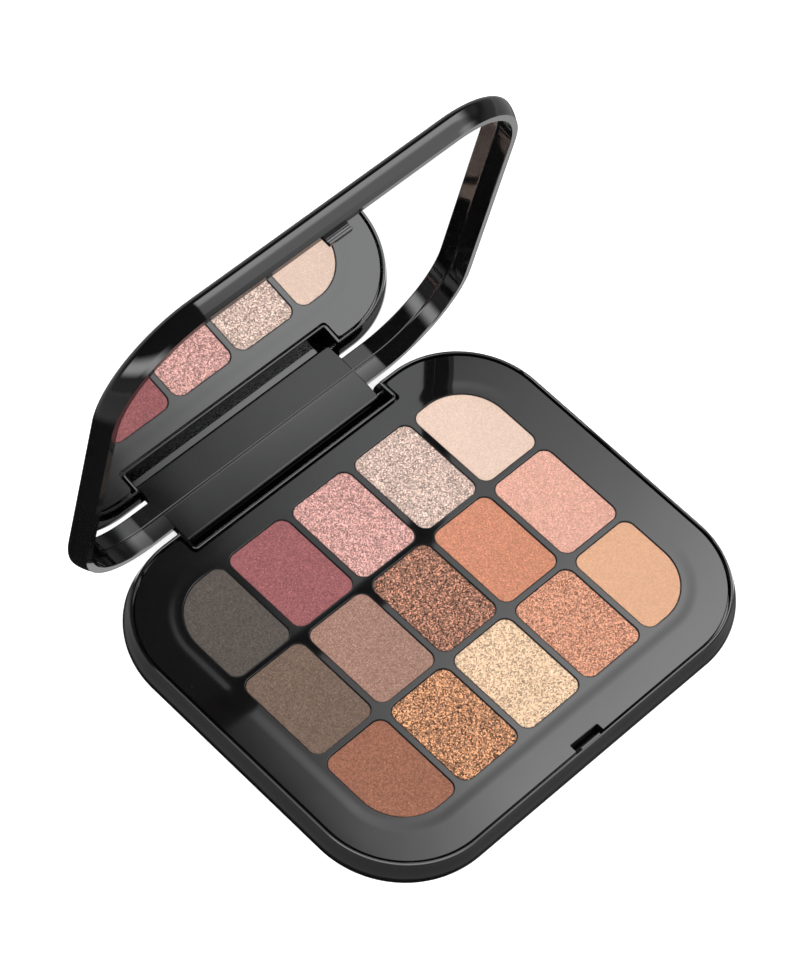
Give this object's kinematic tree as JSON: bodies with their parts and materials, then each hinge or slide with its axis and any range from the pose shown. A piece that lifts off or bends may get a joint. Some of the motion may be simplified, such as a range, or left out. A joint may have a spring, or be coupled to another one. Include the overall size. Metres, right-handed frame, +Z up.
{
  "type": "eyeshadow palette",
  "caption": "Hinged compact with a mirror in the lid and a grid of metal pans filled with pressed powders in a flush deck.",
  "frame": {"origin": "centre of the flat underside", "axes": "+X along the hinge to the right as the palette faces its user, +Y towards the hinge, +Z up"},
  "size_m": [0.1336, 0.1211, 0.1165],
  "materials": {
    "case_plastic": "polished black ABS",
    "deck_plastic": "polished black ABS",
    "pan_metal": "bright tinplate",
    "pan_glue": "hot-melt glue",
    "pin_steel": "drawn steel",
    "mirror_glass": "silvered glass",
    "mirror_tape": "double-sided foam tape",
    "powder_brick": "matte pressed powder",
    "powder_copper": "shimmer pressed powder",
    "powder_champagne": "glitter pressed powder",
    "powder_rose": "shimmer pressed powder",
    "powder_peach": "matte pressed powder",
    "powder_olive": "satin pressed powder",
    "powder_rosewood": "matte pressed powder",
    "powder_bronze": "shimmer pressed powder",
    "powder_coral": "satin pressed powder",
    "powder_pink": "satin pressed powder",
    "powder_charcoal": "matte pressed powder",
    "powder_mauve": "matte pressed powder",
    "powder_petal": "shimmer pressed powder",
    "powder_silver": "glitter pressed powder",
    "powder_cream": "matte pressed powder"
  },
  "bodies": {
    "base": {"base_shell": "case_plastic", "deck_tray": "deck_plastic", "pan_glue": "pan_glue", "pan_brick": "pan_metal", "pan_copper": "pan_metal", "pan_champagne": "pan_metal", "pan_rose": "pan_metal", "pan_peach": "pan_metal", "pan_olive": "pan_metal", "pan_rosewood": "pan_metal", "pan_bronze": "pan_metal", "pan_coral": "pan_metal", "pan_pink": "pan_metal", "pan_charcoal": "pan_metal", "pan_mauve": "pan_metal", "pan_petal": "pan_metal", "pan_silver": "pan_metal", "pan_cream": "pan_metal", "powder_brick": "powder_brick", "powder_copper": "powder_copper", "powder_champagne": "powder_champagne", "powder_rose": "powder_rose", "powder_peach": "powder_peach", "powder_olive": "powder_olive", "powder_rosewood": "powder_rosewood", "powder_bronze": "powder_bronze", "powder_coral": "powder_coral", "powder_pink": "powder_pink", "powder_charcoal": "powder_charcoal", "powder_mauve": "powder_mauve", "powder_petal": "powder_petal", "powder_silver": "powder_silver", "powder_cream": "powder_cream", "hinge_pin_left": "pin_steel", "hinge_pin_right": "pin_steel"},
    "lid": {"lid_shell": "case_plastic", "mirror_tape": "mirror_tape", "mirror_glass": "mirror_glass"}
  },
  "joints": [
    {"name": "lid_hinge", "type": "hinge", "parent": "base", "child": "lid", "pos_m": [0, 0.0536, 0.0064], "axis": [-1, 0, 0], "range_deg": [-83.7, 26.3]}
  ]
}
